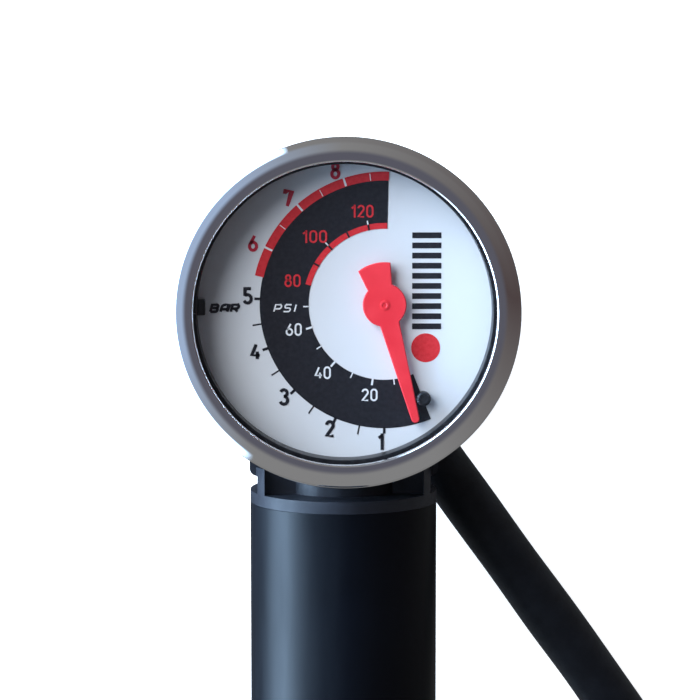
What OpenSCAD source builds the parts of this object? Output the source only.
// Suspension pump with a pressure gauge, lying on its back with the dial facing up.
// Every module is drawn in the pump's own frame: Y runs along the barrel towards the gauge,
// Z points out of the dial, and the origin is on the barrel's axis under the gauge's centre.
// place() then moves it to the stored frame, whose origin is on the surface the pump lies on.

/* [Gauge] */
// Outside diameter of the chromed bezel
bezel_d = 39.6; // [39:0.1:40.5]
// Opening of the bezel over the lens
lens_view_d = 34.0; // [33:0.1:34.2]
// Height of the dial's printed face above the barrel's axis
dial_z = 10.3; // [10.2:0.1:10.4]
// Sideways place of the needle's pivot
pivot_x = 4.5; // [4.2:0.05:4.6]
// Lengthwise place of the needle's pivot
pivot_y = 0.75; // [0.5:0.05:1]
// Length of the needle from pivot to tip
needle_length = 13.9; // [12:0.1:14]
// Angle of the resting needle from straight down
needle_rest_angle = 15.2; // [15:0.1:15.4]

/* [Barrel] */
// Outside diameter of the barrel
barrel_d = 22; // [21.6:0.1:22.2]
// Diameter of the bore that the piston runs in
bore_d = 16; // [15.6:0.1:16.4]
// Distance from the gauge's centre to the seam between head and barrel
seam_distance = 23.24; // [23:0.02:23.6]
// Length of the barrel below the seam
barrel_length = 141.76; // [130:0.02:150]

/* [Plunger] */
// Diameter of the piston rod
rod_d = 8; // [7:0.1:9]
// Width across the flats of the handle
handle_width = 32; // [31:0.5:33]
// Length of the handle's sleeve
handle_length = 74; // [68:1:78]

/* [Hose] */
// Outside diameter of the hose
hose_d = 6.6; // [6.2:0.1:6.8]
// Angle between the hose's root and the barrel
hose_angle = 35.6; // [35:0.1:36]
// Height of the hose's axis at both ends above the surface
hose_height = 5.7; // [5.6:0.1:5.8]

/* [Hidden] */
$fn = 96;

// gap left between round faces that fit together on one body
snug = 0.05;
// running clearance of a shaft in its hole
running = 0.05;

bezel_r = bezel_d / 2;
barrel_r = barrel_d / 2;
bore_r = bore_d / 2;
rod_r = rod_d / 2;
hose_r = hose_d / 2;
handle_half = handle_width / 2;
seam_y = -seam_distance;
barrel_end_y = seam_y - barrel_length;

// the pump rests on the swivel bolt's head and on the flats of the handle
axis_height = handle_half;
floor_z = -axis_height;

// head
head_half = barrel_r;
head_top_y = 11.7;
head_corner_r = 6;
head_back_z = -6;
head_front_z = 4;
flange_t = 1.39;
flange_round = 0.6;
flange_top_y = seam_y + flange_t;
notch_top_y = -19.8;
notch_corner_r = 0.9;
post_outer_x = 10.1;
post_inner_x = 9.25;
pocket_z = 4.5;
skirt_top_y = -18.75;
core_r = 7.2;
tray_r = 17.5;
tray_t = 1.4;
spigot_end_y = seam_y - 10;
gallery_r = 1.5;
gallery_top_y = 3.5;
swivel_boss_r = 6.2;

// seal between the head's spigot and the barrel
barrel_seal_y = seam_y - 4.1;
barrel_seal_groove_r = 7;
barrel_seal_groove_w = 2;
barrel_seal_wire_r = 0.46;

// check valve in the spigot
valve_cavity_r = 4;
valve_cavity_top_y = -25.5;
seat_t = 1.7;
poppet_y = spigot_end_y + seat_t;
poppet_t = 2.2;
poppet_head_r = 2.6;
poppet_guide_r = 1.1;
seat_port_r = 1.2;
valve_spring_r = 1.75;
valve_wire_r = 0.22;

// swivel
swivel_y = -3.5;
swivel_boss_z = -6.6;
elbow_top_z = swivel_boss_z - 0.1;
elbow_t = 7.2;
elbow_bottom_z = elbow_top_z - elbow_t;
elbow_r = 6;
swivel_shank_r = 3;
swivel_bore_r = swivel_shank_r + running;
swivel_thread_r = 2.5;
bolt_flange_z = elbow_bottom_z - 0.1;
bolt_flange_r = 5.2;
bolt_hex_r = 2.3;
swivel_port_r = 1;
swivel_cross_port_r = 0.8;
swivel_groove_r = 2.35;
swivel_groove_w = 0.8;
swivel_seal_z = [elbow_top_z - 1.4, elbow_bottom_z + 1.4];
hose_z = floor_z + hose_height;
arm_r = 3.3;
arm_end = 8.5;
ferrule_r = 4;
elbow_ferrule_end = 17.5;
hose_bore_fit = 0.1;

// bleed valve on the head's left side
bleed_y = 2;
bleed_z = -1.4;
bleed_boss_r = 5;
bleed_boss_x = -14.2;
bleed_recess_r = 3.9;
bleed_recess_x = -11.8;
bleed_housing_r = 3;
bleed_housing_in_x = -3.5;
bleed_port_r = 1.6;
bleed_bore_r = 1.25;
bleed_stem_r = 0.9;
bleed_head_r = 1.45;
bleed_head_x = -3.38;
bleed_button_x = -16.4;
bleed_skirt_x = -13.1;
bleed_skirt_inner_r = 2.9;
bleed_web_x = -15;
bleed_spring_r = 1.9;
bleed_wire_r = 0.25;

// gauge
case_back_z = 4;
case_floor_z = 5.2;
case_r = 18.6;
case_inner_r = 17.3;
case_step_r = 16.9;
case_neck_r = 17.9;
hem_z = 9;
hem_t = 0.35;
case_rim_z = 13.1;
dial_t = 0.4;
dial_r = 17.2;
dial_view_r = 16.7;
lens_t = 1;
lens_r = 18.5;
lens_top_z = case_rim_z + lens_t;
bezel_crest_z = lens_top_z + 1.25;
bezel_lip = 0.28;
bezel_fall = 1.35;
bezel_edge_angle = 66;
socket_y = -12;
socket_block = [7.2, 5.1, 3.9];
stem_r = 3;
stem_end_z = 1;
port_r = 0.5;

// movement
plate_t = 0.5;
base_plate_z = 5.6;
top_plate_z = 8.1;
tooth_module = 0.2;
pinion_teeth = 10;
sector_full_teeth = 80;
pinion_r = tooth_module * pinion_teeth / 2;
sector_r = tooth_module * sector_full_teeth / 2;
sector_x = pivot_x - pinion_r - sector_r;
sector_z = 6.9;
sector_t = 0.7;
arbor_r = 0.4;
arbor_end_gap = 0.05;
pillar_r = 0.7;
pillar_offset = 6.3;
plate_end_r = 2.2;
backlash = 0.05;
pressure_angle = 20;
tube_r = 14.2;
tube_start = -25;
tube_sweep = 281;
tube_z = case_floor_z + 1.7;
tail_length = 3;
link_z = 7.7;
link_t = 0.3;
link_pin_r = 0.3;
link_from = [sector_x, pivot_y - tail_length];
link_to = [10, -5.1];

// needle
needle_z = 10.9;
needle_t = 0.6;
needle_hub_r = 2.48;
needle_boss_r = 1.3;
needle_tip_r = 0.45;
needle_tail_r = 4.6;
stop_at = [pivot_x + 4.46, pivot_y - 10.67];
stop_r = 0.8;

// plunger, drawn fully pushed in
piston_top_y = spigot_end_y - 1;
piston_length = 10;
piston_end_y = piston_top_y - piston_length;
piston_fit = 0.1;
ring_groove_y = piston_top_y - 5.6;
ring_groove_w = 2.2;
ring_groove_r = 6.1;
ring_wire_r = 0.92;
nose_r = 2.95;
collar_r = 3.6;
collar_start = 4.1;
collar_end = 5.9;
rod_core_r = 1.6;
rod_screw_r = 2.05;
rod_screw_depth = 12;
handle_top_y = barrel_end_y + 53;
handle_end_y = handle_top_y - handle_length;
cap_t = 5;
cap_end_y = handle_end_y - cap_t;
sleeve_inner_r = barrel_r + 0.4;
sleeve_core_r = 13;
handle_ring_w = 6;
handle_corner_r = 10;
mouth_chamfer = 1.3;
grip_end_r = 17.6;
grip_waist = 2.2;
grip_inset = 0.4;
groove_pitch = 5.6;
groove_w = 1.4;
groove_floor_r = 14.2;
cap_round_start_r = 13.5;
cap_round_end_r = 19;
screw_r = 2;
screw_head_r = 3.8;
screw_hex_r = 1.7;
gland_t = 3;
gland_depth = 9;
gland_bore_r = 6;
wiper_recess_r = 5.4;
wiper_recess_depth = 1.6;
wiper_wire_r = 0.64;
pin_hole_r = 0.8;
pin_hole_circle_r = 7.6;
bumper_r = 7.4;
bumper_t = 2.5;

// hose end, measured along the chuck's axis from the end of the hose
chuck_x = 51;
hose_end_y = -148.5;
chuck_ferrule_length = 9;
stem_shoulder_end = 3.6;
retainer_start = 4;
retainer_end = 5.8;
stem_flange_start = 5.9;
stem_flange_end = 8.4;
chuck_seal_end = 10.5;
chuck_end = 20;
chuck_nut_r = 5.7;
chuck_cavity_r = 4.3;
valve_thread_r = 3.9;
chuck_neck_r = 2.6;
chuck_plain_r = 5.2;
chuck_end_r = 4.7;
chuck_bore_r = 0.9;
depressor_start = 6.55;
depressor_end = 10.4;
depressor_flange_t = 1.2;
depressor_flange_r = 1.25;
depressor_pin_r = 0.75;
knurl_start = 5;
knurl_end = 15;
knurl_depth = 0.22;
knurl_count = 36;

// centre line of the hose in the pump's frame, from the elbow's arm to the chuck
hose_route = [
    [4.98, -10.45, -10.3], [10.48, -18.13, -10.3], [17.46, -27.88, -10.35], [24.45, -37.65, -10.7],
    [31.43, -47.4, -11.3], [38.2, -57.6, -11.9], [42.7, -66.5, -12.35], [46.3, -75.8, -12.6],
    [48.9, -85.4, -12.65], [50.4, -95.2, -12.65], [51, -105.2, -12.55], [51, -114, -12.25],
    [51, -122, -11.65], [51, -130, -10.95], [51, -138, -10.4], [51, -144, -10.3], [51, -148.45, -10.3]
];

// the stored origin is on the resting surface, half way along the pump and on its centre line
origin_y = -(bezel_r + cap_end_y) / 2;

// ---------------------------------------------------------------- helpers

module place() {
    translate([0, origin_y, axis_height]) children();
}

// round bar along Y between two stations
module bar_y(r, y0, y1) {
    translate([0, min(y0, y1), 0]) rotate([-90, 0, 0]) cylinder(r = r, h = abs(y1 - y0));
}

// round bar along Z
module bar_z(r, z0, z1, at = [0, 0]) {
    translate([at[0], at[1], min(z0, z1)]) cylinder(r = r, h = abs(z1 - z0));
}

// round bar along X at the bleed valve's axis
module bleed_bar(r, x0, x1) {
    translate([min(x0, x1), bleed_y, bleed_z]) rotate([0, 90, 0]) cylinder(r = r, h = abs(x1 - x0));
}

// solid of revolution about Y from [radius, y] points
module turned_y(points) {
    rotate([-90, 0, 0]) rotate_extrude() polygon(points);
}

// ring with a round section, about Y
module seal_y(major, minor, y) {
    translate([0, y, 0]) rotate([-90, 0, 0]) rotate_extrude() translate([major, 0]) circle(r = minor, $fn = 48);
}

// ring with a round section, about Z
module seal_z(major, minor, z) {
    translate([0, swivel_y, z]) rotate_extrude() translate([major, 0]) circle(r = minor, $fn = 48);
}

// frame whose +Z runs out along the hose's root from the swivel's axis
module along_hose_root() {
    translate([0, swivel_y, hose_z]) rotate([0, 0, hose_angle - 90]) rotate([0, 90, 0]) children();
}

// frame whose +Z runs out along the chuck from the end of the hose
module along_chuck() {
    translate([chuck_x, hose_end_y, hose_z]) rotate([90, 0, 0]) children();
}

// pipe along Z
module pipe(outer, inner, z0, z1) {
    translate([0, 0, z0]) difference() {
        cylinder(r = outer, h = z1 - z0);
        translate([0, 0, -1]) cylinder(r = inner, h = z1 - z0 + 2);
    }
}

// rounded square with true flats
module rounded_square(half, corner) {
    square([2 * half, 2 * (half - corner)], center = true);
    square([2 * (half - corner), 2 * half], center = true);
    for (x = [-1, 1], y = [-1, 1]) translate([x, y] * (half - corner)) circle(r = corner);
}

// prism of the handle's outline between two stations
module handle_prism(half, y0, y1) {
    translate([0, y0, 0]) rotate([-90, 0, 0]) linear_extrude(y1 - y0) rounded_square(half, handle_corner_r);
}

function unit(v) = v / norm(v);

// tangent of a polyline at point i
function tangent(path, i) =
    unit(path[min(i + 1, len(path) - 1)] - path[max(i - 1, 0)]);

// ring of points of a swept tube
function ring_at(path, i, r, sides) =
    let (t = tangent(path, i), n = unit(cross(t, [0, 0, 1])), b = cross(n, t))
    [for (k = [0 : sides - 1]) path[i] + r * (cos(360 * k / sides) * n + sin(360 * k / sides) * b)];

// tube with a round section swept along a polyline
module swept_tube(path, r, sides) {
    rings = len(path);
    points = [for (i = [0 : rings - 1]) each ring_at(path, i, r, sides)];
    walls = [
        for (i = [0 : rings - 2], k = [0 : sides - 1])
            let (a = i * sides + k, b = i * sides + (k + 1) % sides)
            each [[a, b, a + sides], [b, b + sides, a + sides]]
    ];
    first_cap = [for (k = [sides - 1 : -1 : 0]) k];
    last_cap = [for (k = [0 : sides - 1]) (rings - 1) * sides + k];
    polyhedron(points = points, faces = concat(walls, [first_cap, last_cap]), convexity = 4);
}

// compression spring along Z with flat dead turns at its ends
module coil_spring(r, wire_r, length, turns) {
    steps = turns * 14;
    rise = length - 2 * wire_r;
    path = [
        for (i = [0 : steps])
            let (share = i / steps, lift = min(1, max(0, (share - 0.12) / 0.76)))
            [r * cos(360 * turns * share), r * sin(360 * turns * share), wire_r + rise * lift]
    ];
    swept_tube(path, wire_r, 6);
}

// ---------------------------------------------------------------- gears

function involute_of(a) = tan(a) * 180 / PI - a;

// half of a tooth's angle at radius r
function half_tooth(teeth, r) =
    let (pitch = tooth_module * teeth / 2, base = pitch * cos(pressure_angle))
    90 / teeth - backlash / (2 * pitch) * 180 / PI / 2 + involute_of(pressure_angle)
    - (r > base ? involute_of(acos(base / r)) : 0);

function polar(r, a) = [r * cos(a), r * sin(a)];

// outline of one tooth centred on an angle
function tooth(teeth, centre) =
    let (
        pitch = tooth_module * teeth / 2,
        root = pitch - 1.15 * tooth_module,
        tip = pitch + 0.85 * tooth_module,
        radii = [for (i = [0 : 5]) root + (tip - root) * i / 5]
    )
    concat(
        [for (i = [0 : 5]) polar(radii[i], centre - half_tooth(teeth, radii[i]))],
        [for (i = [5 : -1 : 0]) polar(radii[i], centre + half_tooth(teeth, radii[i]))]
    );

module pinion_outline() {
    polygon([for (k = [0 : pinion_teeth - 1]) each tooth(pinion_teeth, 360 * k / pinion_teeth)]);
}

// toothed fan of the sector, from its pivot
module sector_outline() {
    step = 360 / sector_full_teeth;
    polygon(concat([[0, 0]], [for (k = [-8 : 1]) each tooth(sector_full_teeth, (k + 0.5) * step)]));
}

// ---------------------------------------------------------------- head and barrel

module head_outline() {
    inner = head_half - head_corner_r;
    low_inner = head_half - notch_corner_r;
    translate([-head_half, notch_top_y + notch_corner_r])
        square([2 * head_half, head_top_y - head_corner_r - notch_top_y - notch_corner_r]);
    translate([-low_inner, notch_top_y]) square([2 * low_inner, 2 * notch_corner_r]);
    for (x = [-low_inner, low_inner]) translate([x, notch_top_y + notch_corner_r]) circle(r = notch_corner_r);
    translate([-inner, notch_top_y]) square([2 * inner, head_top_y - notch_top_y]);
    for (x = [-inner, inner]) translate([x, head_top_y - head_corner_r]) circle(r = head_corner_r);
}

// collar that seats on the barrel, with a rounded upper edge
module head_flange() {
    edge = [for (a = [0 : 15 : 90]) [
        barrel_r - flange_round + flange_round * cos(a),
        flange_top_y - flange_round + flange_round * sin(a)
    ]];
    turned_y(concat([[0, seam_y], [barrel_r, seam_y]], edge, [[0, flange_top_y]]));
}

// skirt between collar and gauge: side posts, an inner core and a shallow front pocket
module head_skirt() {
    intersection() {
        difference() {
            bar_y(barrel_r, flange_top_y - flange_round, skirt_top_y);
            translate([-post_inner_x, flange_top_y, pocket_z])
                cube([2 * post_inner_x, skirt_top_y - flange_top_y + 1, barrel_r]);
            for (x = [post_outer_x, -post_outer_x - 2])
                translate([x, flange_top_y, -20]) cube([2, notch_top_y - flange_top_y, 40]);
        }
        translate([-20, -30, head_back_z]) cube([40, 30, 40]);
    }
    bar_y(core_r, seam_y, skirt_top_y);
}

module head_passages() {
    // gallery from the check valve up the head
    bar_y(gallery_r, valve_cavity_top_y - 0.01, gallery_top_y);
    bar_y(valve_cavity_r, spigot_end_y - 1, valve_cavity_top_y);
    // groove of the barrel seal
    difference() {
        bar_y(barrel_r, barrel_seal_y - barrel_seal_groove_w / 2, barrel_seal_y + barrel_seal_groove_w / 2);
        bar_y(barrel_seal_groove_r, barrel_seal_y - 5, barrel_seal_y + 5);
    }
    // gauge stem, swivel bolt and bleed valve
    bar_z(stem_r + snug, stem_end_z - 0.2, 6, [0, socket_y]);
    bar_z(swivel_thread_r + snug, -9, 0, [0, swivel_y]);
    bleed_bar(bleed_housing_r + snug, -20, bleed_housing_in_x);
    bleed_bar(bleed_recess_r, -20, bleed_recess_x);
    bleed_bar(bleed_port_r, bleed_housing_in_x - 0.5, 0);
}

module head_body() color([0.11, 0.12, 0.14]) difference() {
    union() {
        head_flange();
        head_skirt();
        translate([0, 0, head_back_z]) linear_extrude(head_front_z - head_back_z) head_outline();
        bar_z(tray_r, head_front_z - tray_t, head_front_z);
        bar_y(bore_r - snug, spigot_end_y, seam_y + 1);
        bar_z(swivel_boss_r, swivel_boss_z, head_back_z + 1, [0, swivel_y]);
        intersection() {
            bleed_bar(bleed_boss_r, bleed_boss_x, -9);
            translate([-20, -10, head_back_z]) cube([20, 30, head_front_z - head_back_z]);
        }
    }
    head_passages();
}

module barrel() color([0.05, 0.06, 0.08]) difference() {
    bar_y(barrel_r, barrel_end_y, seam_y);
    bar_y(bore_r, barrel_end_y - 1, seam_y + 1);
}

module barrel_seal() color([0.03, 0.03, 0.03])
    seal_y(barrel_seal_groove_r + 0.02 + barrel_seal_wire_r, barrel_seal_wire_r, barrel_seal_y);

module valve_seat() color([0.75, 0.6, 0.3]) difference() {
    bar_y(valve_cavity_r - snug, spigot_end_y, poppet_y);
    bar_y(seat_port_r, spigot_end_y - 1, poppet_y + 1);
}

module valve_poppet() color([0.9, 0.9, 0.86]) union() {
    bar_y(poppet_head_r, poppet_y + 0.02, poppet_y + 1);
    bar_y(poppet_guide_r, poppet_y + 0.9, poppet_y + poppet_t);
}

module valve_spring() color([0.7, 0.7, 0.72])
    translate([0, poppet_y + 1.05, 0]) rotate([-90, 0, 0])
        coil_spring(valve_spring_r, valve_wire_r, valve_cavity_top_y - poppet_y - 1.1, 5);

// ---------------------------------------------------------------- gauge

module gauge_case() color([0.06, 0.06, 0.07]) difference() {
    rotate_extrude() polygon([
        [0, case_back_z], [case_neck_r - 1.4, case_back_z], [case_neck_r, case_back_z + 1.4],
        [case_neck_r, hem_z + hem_t + snug], [case_r, hem_z + hem_t + snug], [case_r, case_rim_z],
        [case_inner_r, case_rim_z], [case_inner_r, dial_z - dial_t], [case_step_r, dial_z - dial_t],
        [case_step_r, case_floor_z], [0, case_floor_z]
    ]);
    bar_z(stem_r + snug, 0, 8, [0, socket_y]);
}

module gauge_socket() color([0.78, 0.62, 0.32]) difference() {
    union() {
        bar_z(stem_r, stem_end_z, case_floor_z + 0.1, [0, socket_y]);
        translate([-socket_block[0] / 2, socket_y - 3.1, case_floor_z]) cube(socket_block);
    }
    bar_z(0.7, stem_end_z - 1, tube_z, [0, socket_y]);
    translate([-5, socket_y - 1.8, tube_z]) rotate([0, 90, 0]) cylinder(r = port_r, h = 5);
    translate([0, socket_y, tube_z]) rotate([90, 0, 0]) cylinder(r = port_r, h = 2.2);
}

// flattened section of the pressure tube
module tube_section() {
    square([1.2, 1.6], center = true);
    for (y = [-0.8, 0.8]) translate([0, y]) circle(r = 0.6, $fn = 32);
}

module bourdon_tube() color([0.8, 0.62, 0.35]) union() {
    translate([0, 0, tube_z]) rotate([0, 0, tube_start])
        rotate_extrude(angle = tube_sweep) translate([tube_r, 0]) tube_section();
    // bracket soldered to the free end
    rotate([0, 0, tube_start]) translate([tube_r - 3.7, -1.4, tube_z - 0.9]) cube([3.8, 2, 1.4]);
}

// plate shape shared by both movement plates
module plate_outline() {
    translate([sector_x, pivot_y]) circle(r = plate_end_r);
    translate([pivot_x, pivot_y]) circle(r = plate_end_r);
    translate([sector_x, pivot_y - plate_end_r]) square([pivot_x - sector_x, 2 * plate_end_r]);
    translate([0.4, pivot_y - 7.2]) square([2.4, 14.4]);
}

module movement_plate(z, shaft_r) {
    difference() {
        translate([0, 0, z]) linear_extrude(plate_t) plate_outline();
        bar_z(shaft_r, z - 1, z + 2, [pivot_x, pivot_y]);
        bar_z(shaft_r, z - 1, z + 2, [sector_x, pivot_y]);
    }
}

module movement_base_plate() color([0.8, 0.66, 0.36]) union() {
    movement_plate(base_plate_z, arbor_r + running);
    translate([-1.2, socket_y + 2, base_plate_z]) cube([3.2, 6.6, plate_t]);
}

module movement_top_plate() color([0.8, 0.66, 0.36])
    movement_plate(top_plate_z, arbor_r + running);

module movement_pillars() color([0.78, 0.64, 0.34])
    for (y = [-pillar_offset, pillar_offset]) bar_z(pillar_r, base_plate_z + plate_t, top_plate_z, [1.6, pivot_y + y]);

// flat spiral that takes up the gears' play
module hairspring() color([0.6, 0.6, 0.65]) {
    turns = 3.5;
    steps = 60;
    inner = 0.85;
    pitch = 0.3;
    thickness = 0.1;
    outer_line = [for (i = [0 : steps]) polar(inner + thickness + pitch * turns * i / steps, 360 * turns * i / steps)];
    inner_line = [for (i = [steps : -1 : 0]) polar(inner + pitch * turns * i / steps, 360 * turns * i / steps)];
    translate([pivot_x, pivot_y, top_plate_z + plate_t + 0.2])
        linear_extrude(0.5) polygon(concat(outer_line, inner_line));
}

module gauge_dial() color([0.93, 0.94, 0.95]) difference() {
    bar_z(dial_r, dial_z - dial_t, dial_z);
    bar_z(0.8, dial_z - 2, dial_z + 1, [pivot_x, pivot_y]);
    bar_z(0.4, dial_z - 2, dial_z + 1, stop_at);
}

module needle_stop() color([0.05, 0.05, 0.05]) union() {
    bar_z(0.35, dial_z - 0.9, dial_z + 0.1, stop_at);
    bar_z(stop_r, dial_z, dial_z + 1.5, stop_at);
}

// black ring between dial and lens, with the key that locates the dial
module spacer_ring() color([0.04, 0.04, 0.05]) union() {
    difference() {
        bar_z(case_inner_r - snug, dial_z, case_rim_z);
        bar_z(dial_view_r, dial_z - 1, case_rim_z + 1);
    }
    translate([-dial_view_r - 0.2, -0.35, dial_z]) cube([1.1, 1.75, 1.2]);
}

module gauge_lens() color([0.9, 0.95, 1, 0.3])
    bar_z(lens_r, case_rim_z, lens_top_z);

// crown of the bezel: from a small rolled lip over the lens it falls away to the outside wall
function bezel_crown() =
    let (start = lens_view_d / 2 + bezel_lip, reach = (bezel_r - start) / sin(bezel_edge_angle))
    concat(
        [for (a = [0 : 30 : 60])
            [start - bezel_lip * cos(a), bezel_crest_z - bezel_lip * (1 - sin(a))]],
        [for (i = [0 : 8]) let (a = bezel_edge_angle * i / 8)
            [start + reach * sin(a), bezel_crest_z - bezel_fall * (1 - cos(a)) / (1 - cos(bezel_edge_angle))]]
    );

module gauge_bezel() color([0.82, 0.83, 0.85]) rotate_extrude()
    polygon(concat(
        [[lens_view_d / 2, lens_top_z]],
        bezel_crown(),
        [[bezel_r, hem_z + 0.4], [bezel_r - 0.4, hem_z], [case_neck_r + snug, hem_z],
         [case_neck_r + snug, hem_z + hem_t], [case_r + snug, hem_z + hem_t],
         [case_r + snug, lens_top_z]]
    ));

// ---------------------------------------------------------------- needle and gears

// moulded pointer drawn along +X from its pivot
module needle_outline() {
    circle(r = needle_hub_r);
    tip_x = needle_length - needle_tip_r;
    polygon([[0, 1.05], [0, -1.05], [tip_x, -needle_tip_r], [tip_x, needle_tip_r]]);
    translate([tip_x, 0]) circle(r = needle_tip_r);
    intersection() {
        polygon([[0, 1.15], [0, -1.15], [-5, -1.95], [-5, 1.95]]);
        circle(r = needle_tail_r);
    }
}

module gauge_needle() color([0.86, 0.06, 0.09])
    translate([pivot_x, pivot_y, 0]) rotate([0, 0, needle_rest_angle - 90]) difference() {
        union() {
            translate([0, 0, needle_z]) linear_extrude(needle_t) needle_outline();
            bar_z(needle_boss_r, dial_z + 0.2, needle_z + needle_t + 0.1);
        }
        bar_z(arbor_r + 0.02, 0, needle_z + needle_t - 0.05);
    }

module needle_arbor() color([0.72, 0.72, 0.74])
    translate([pivot_x, pivot_y, 0]) union() {
        bar_z(arbor_r, base_plate_z + arbor_end_gap, needle_z + needle_t - 0.1);
        translate([0, 0, base_plate_z + plate_t + 0.3]) linear_extrude(1.6) pinion_outline();
    }

module sector_gear() color([0.8, 0.66, 0.36]) translate([sector_x, pivot_y, 0]) union() {
    bar_z(arbor_r, base_plate_z + arbor_end_gap, top_plate_z + plate_t - arbor_end_gap);
    bar_z(1, sector_z, sector_z + sector_t);
    translate([0, 0, sector_z]) linear_extrude(sector_t) sector_outline();
    // tail with the link's pin
    translate([-0.6, -tail_length, sector_z]) cube([1.2, tail_length, sector_t]);
    bar_z(0.6, sector_z, sector_z + sector_t, [0, -tail_length]);
    bar_z(link_pin_r, sector_z, link_z + link_t, [0, -tail_length]);
}

// flat link from the sector's tail towards the free end of the pressure tube
module bourdon_link() color([0.75, 0.62, 0.34]) {
    run = link_to - link_from;
    translate([link_from[0], link_from[1], link_z]) rotate([0, 0, atan2(run[1], run[0])]) difference() {
        union() {
            translate([0, -0.4, 0]) cube([norm(run), 0.8, link_t]);
            bar_z(0.7, 0, link_t);
            bar_z(0.7, 0, link_t, [norm(run), 0]);
        }
        bar_z(link_pin_r + running, -1, 1);
        bar_z(link_pin_r + running, -1, 1, [norm(run), 0]);
    }
}

// ---------------------------------------------------------------- bleed valve

module bleed_housing() color([0.78, 0.62, 0.32]) difference() {
    bleed_bar(bleed_housing_r, bleed_recess_x, bleed_housing_in_x);
    bleed_bar(bleed_bore_r, -20, 0);
}

module bleed_stem() color([0.72, 0.72, 0.74]) union() {
    bleed_bar(bleed_stem_r, bleed_web_x - 0.3, bleed_head_x + 0.1);
    bleed_bar(bleed_head_r, bleed_head_x, bleed_head_x + 0.68);
}

module bleed_button() color([0.07, 0.07, 0.08]) difference() {
    bleed_bar(bleed_recess_r - 0.3, bleed_button_x, bleed_skirt_x);
    bleed_bar(bleed_skirt_inner_r, bleed_web_x, bleed_skirt_x + 0.1);
    bleed_bar(bleed_stem_r + 0.02, bleed_web_x - 0.35, bleed_skirt_x);
}

module bleed_spring() color([0.7, 0.7, 0.72])
    translate([bleed_web_x + 0.02, bleed_y, bleed_z]) rotate([0, 90, 0])
        coil_spring(bleed_spring_r, bleed_wire_r, bleed_recess_x - bleed_web_x - 0.05, 4);

// ---------------------------------------------------------------- plunger

module gland_nut() color([0.08, 0.08, 0.09]) difference() {
    union() {
        bar_y(barrel_r - 0.1, barrel_end_y - gland_t, barrel_end_y);
        bar_y(bore_r - snug, barrel_end_y, barrel_end_y + gland_depth);
    }
    bar_y(gland_bore_r, barrel_end_y, barrel_end_y + gland_depth + 1);
    bar_y(rod_r + 0.25, barrel_end_y - gland_t - 1, barrel_end_y + 1);
    bar_y(wiper_recess_r, barrel_end_y - gland_t - 1, barrel_end_y - gland_t + wiper_recess_depth);
    // holes for a pin spanner
    for (a = [45, 225]) rotate([0, a, 0]) translate([pin_hole_circle_r, barrel_end_y - gland_t - 0.1, 0])
        rotate([-90, 0, 0]) cylinder(r = pin_hole_r, h = 1.6);
}

module gland_bush() color([0.85, 0.84, 0.8]) difference() {
    bar_y(gland_bore_r - snug, barrel_end_y, barrel_end_y + gland_depth);
    bar_y(rod_r + running, barrel_end_y - 1, barrel_end_y + gland_depth + 1);
}

module rod_wiper() color([0.03, 0.03, 0.03])
    seal_y(rod_r + running + wiper_wire_r, wiper_wire_r, barrel_end_y - gland_t + wiper_recess_depth / 2);

module end_bumper() color([0.1, 0.1, 0.1]) difference() {
    bar_y(bumper_r, barrel_end_y + gland_depth, barrel_end_y + gland_depth + bumper_t);
    bar_y(rod_r + 0.4, barrel_end_y, barrel_end_y + gland_depth + 4);
}

module piston_seal() color([0.03, 0.03, 0.03])
    seal_y(ring_groove_r + 0.02 + ring_wire_r, ring_wire_r, ring_groove_y);

module piston() color([0.88, 0.87, 0.82]) difference() {
    bar_y(bore_r - piston_fit, piston_end_y, piston_top_y);
    difference() {
        bar_y(9, ring_groove_y - ring_groove_w / 2, ring_groove_y + ring_groove_w / 2);
        bar_y(ring_groove_r, ring_groove_y - 5, ring_groove_y + 5);
    }
    bar_y(nose_r + running, piston_end_y - 1, piston_end_y + collar_start);
    bar_y(collar_r + 0.1, piston_end_y + collar_start - 0.1, piston_end_y + collar_end + 0.3);
}

module piston_rod() color([0.75, 0.76, 0.78]) difference() {
    union() {
        bar_y(rod_r, handle_end_y + 0.05, piston_end_y - 0.05);
        bar_y(nose_r, piston_end_y - 1, piston_end_y + collar_end);
        bar_y(collar_r, piston_end_y + collar_start, piston_end_y + collar_end);
    }
    bar_y(rod_core_r, handle_end_y, piston_end_y + 7);
    bar_y(rod_screw_r, handle_end_y, handle_end_y + rod_screw_depth);
}

module handle_sleeve() color([0.07, 0.07, 0.08]) difference() {
    union() {
        bar_y(sleeve_core_r, handle_end_y, handle_top_y);
        handle_prism(handle_half, handle_end_y, handle_end_y + handle_ring_w);
        handle_prism(handle_half, handle_top_y - handle_ring_w, handle_top_y);
    }
    bar_y(sleeve_inner_r, handle_end_y - 1, handle_top_y + 1);
    // lead-in chamfer at the mouth
    turned_y([[0, handle_top_y - 1.2], [sleeve_inner_r, handle_top_y - 1.2],
        [sleeve_inner_r + mouth_chamfer, handle_top_y + 0.1], [0, handle_top_y + 0.1]]);
}

// soft overmould between the two end rings, waisted for the palm
module handle_grip() color([0.04, 0.04, 0.045]) {
    low = handle_end_y + handle_ring_w;
    high = handle_top_y - handle_ring_w;
    mid = (low + high) / 2;
    half_span = (high - low) / 2;
    profile = [for (i = [-8 : 8])
        let (share = i / 8) [grip_end_r - grip_waist * (1 - share * share), mid + half_span * share]];
    difference() {
        intersection() {
            turned_y(concat([[0, low]], profile, [[0, high]]));
            handle_prism(handle_half - grip_inset, low, high);
        }
        bar_y(sleeve_core_r + snug, low - 1, high + 1);
        for (i = [-4 : 4]) translate([0, mid + groove_pitch * i, 0]) difference() {
            bar_y(20, -groove_w / 2, groove_w / 2);
            bar_y(groove_floor_r, -groove_w, groove_w);
        }
    }
}

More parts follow.
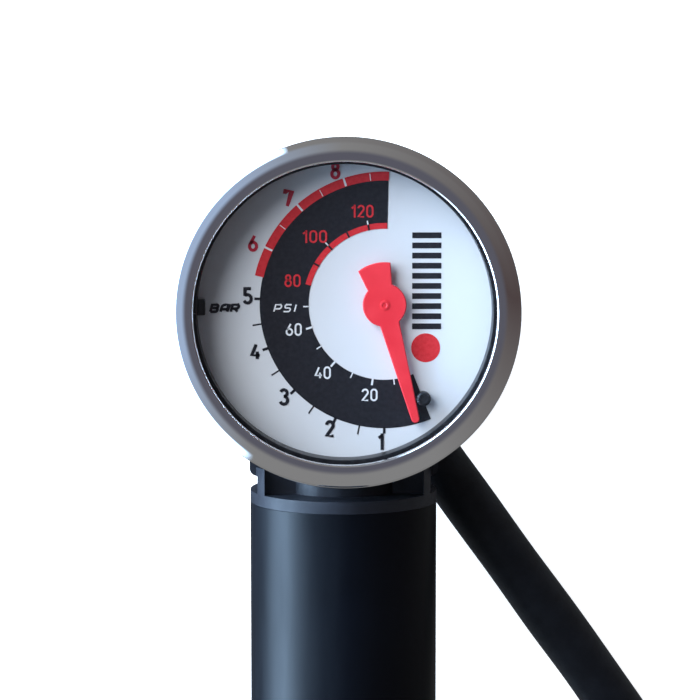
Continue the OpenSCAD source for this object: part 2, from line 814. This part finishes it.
module handle_cap() color([0.07, 0.07, 0.08]) difference() {
    intersection() {
        handle_prism(handle_half, cap_end_y, handle_end_y);
        turned_y([[0, cap_end_y], [cap_round_start_r, cap_end_y], [cap_round_end_r, cap_end_y + 4],
            [cap_round_end_r, handle_end_y], [0, handle_end_y]]);
    }
    bar_y(screw_head_r + 0.4, cap_end_y - 1, cap_end_y + 2.4);
    bar_y(screw_r + 0.1, cap_end_y - 1, handle_end_y + 1);
}

module handle_screw() color([0.7, 0.7, 0.72]) difference() {
    union() {
        bar_y(screw_head_r, cap_end_y + 0.3, cap_end_y + 2.4);
        bar_y(screw_r, cap_end_y + 2.4, handle_end_y + 10);
    }
    translate([0, cap_end_y - 1, 0]) rotate([-90, 0, 0]) cylinder(r = screw_hex_r, h = 2.5, $fn = 6);
}

// ---------------------------------------------------------------- swivel and hose

module swivel_bolt() color([0.16, 0.16, 0.17]) translate([0, swivel_y, 0]) difference() {
    union() {
        bar_z(swivel_thread_r, swivel_boss_z, -1.6);
        bar_z(swivel_shank_r, bolt_flange_z, swivel_boss_z);
        bar_z(bolt_flange_r, floor_z, bolt_flange_z);
    }
    for (z = swivel_seal_z) difference() {
        bar_z(4, z - swivel_groove_w / 2, z + swivel_groove_w / 2);
        bar_z(swivel_groove_r, z - 1, z + 1);
    }
    bar_z(swivel_port_r, hose_z, 0);
    translate([0, 0, hose_z]) rotate([0, 90, 0]) cylinder(r = swivel_cross_port_r, h = 12, center = true);
    translate([0, 0, floor_z - 1]) cylinder(r = bolt_hex_r, h = 2.4, $fn = 6);
}

module swivel_seals() color([0.03, 0.03, 0.03])
    for (z = swivel_seal_z)
        seal_z((swivel_groove_r + swivel_bore_r) / 2, (swivel_bore_r - swivel_groove_r) / 2 - 0.01, z);

module swivel_elbow() color([0.14, 0.14, 0.15]) difference() {
    union() {
        bar_z(elbow_r, elbow_bottom_z, elbow_top_z, [0, swivel_y]);
        along_hose_root() cylinder(r = arm_r, h = arm_end);
    }
    bar_z(swivel_bore_r, elbow_bottom_z - 1, elbow_top_z + 1, [0, swivel_y]);
    along_hose_root() cylinder(r = swivel_port_r, h = arm_end + 1);
}

module elbow_ferrule() color([0.14, 0.14, 0.15])
    along_hose_root() pipe(ferrule_r, hose_r + hose_bore_fit, arm_end, elbow_ferrule_end);

module hose() color([0.03, 0.035, 0.04])
    swept_tube(hose_route, hose_r, 12);

module chuck_ferrule() color([0.75, 0.75, 0.77])
    along_chuck() pipe(ferrule_r, hose_r + hose_bore_fit, -chuck_ferrule_length, 0);

module chuck_stem() color([0.78, 0.62, 0.32]) along_chuck() difference() {
    union() {
        translate([0, 0, 0.02]) cylinder(r = ferrule_r, h = stem_shoulder_end - 0.02);
        cylinder(r = chuck_neck_r, h = stem_flange_end);
        translate([0, 0, stem_flange_start]) cylinder(r = chuck_cavity_r - 0.1, h = stem_flange_end - stem_flange_start);
    }
    translate([0, 0, -1]) cylinder(r = chuck_bore_r, h = depressor_start + 1.05);
    translate([0, 0, depressor_start - 0.05]) cylinder(r = depressor_flange_r + running, h = 4);
}

module chuck_seal() color([0.06, 0.06, 0.06])
    along_chuck() pipe(chuck_cavity_r - 0.1, 1.6, stem_flange_end, chuck_seal_end - 0.05);

module core_depressor() color([0.78, 0.62, 0.32]) along_chuck() difference() {
    union() {
        translate([0, 0, depressor_start]) cylinder(r = depressor_flange_r, h = depressor_flange_t);
        translate([0, 0, depressor_start]) cylinder(r = depressor_pin_r, h = depressor_end - depressor_start);
    }
    translate([0, 0, depressor_start - 0.5]) cylinder(r = 0.3, h = 3);
}

// ridges around the chuck's grip
module knurl_outline() {
    polygon([for (k = [0 : 2 * knurl_count - 1])
        polar(chuck_nut_r - (k % 2) * knurl_depth, 180 * k / knurl_count)]);
}

module chuck_nut() color([0.76, 0.77, 0.79]) along_chuck() difference() {
    union() {
        translate([0, 0, retainer_start - 0.1]) cylinder(r = chuck_plain_r, h = 1.2);
        translate([0, 0, knurl_start]) linear_extrude(knurl_end - knurl_start) knurl_outline();
        translate([0, 0, knurl_end]) cylinder(r = chuck_plain_r, h = chuck_end - 1 - knurl_end);
        translate([0, 0, chuck_end - 1]) cylinder(r1 = chuck_plain_r, r2 = chuck_end_r, h = 1);
    }
    cylinder(r = chuck_cavity_r, h = chuck_seal_end);
    cylinder(r = valve_thread_r, h = chuck_end + 1);
}

module chuck_retainer() color([0.6, 0.6, 0.62])
    along_chuck() pipe(chuck_cavity_r - 0.02, chuck_neck_r + running, retainer_start, retainer_end);

// ---------------------------------------------------------------- output

place() head_body();
place() barrel();
place() barrel_seal();
place() valve_seat();
place() valve_spring();
place() gauge_case();
place() gauge_socket();
place() bourdon_tube();
place() bourdon_link();
place() movement_base_plate();
place() movement_top_plate();
place() movement_pillars();
place() hairspring();
place() gauge_dial();
place() needle_stop();
place() spacer_ring();
place() gauge_lens();
place() gauge_bezel();
place() gland_nut();
place() gland_bush();
place() rod_wiper();
place() end_bumper();
place() bleed_housing();
place() bleed_spring();
place() swivel_bolt();
place() swivel_seals();
place() gauge_needle();
place() needle_arbor();
place() sector_gear();
place() valve_poppet();
place() bleed_button();
place() bleed_stem();
place() piston_seal();
place() piston();
place() piston_rod();
place() handle_sleeve();
place() handle_grip();
place() handle_cap();
place() handle_screw();
place() swivel_elbow();
place() elbow_ferrule();
place() hose();
place() chuck_ferrule();
place() chuck_stem();
place() chuck_seal();
place() core_depressor();
place() chuck_nut();
place() chuck_retainer();
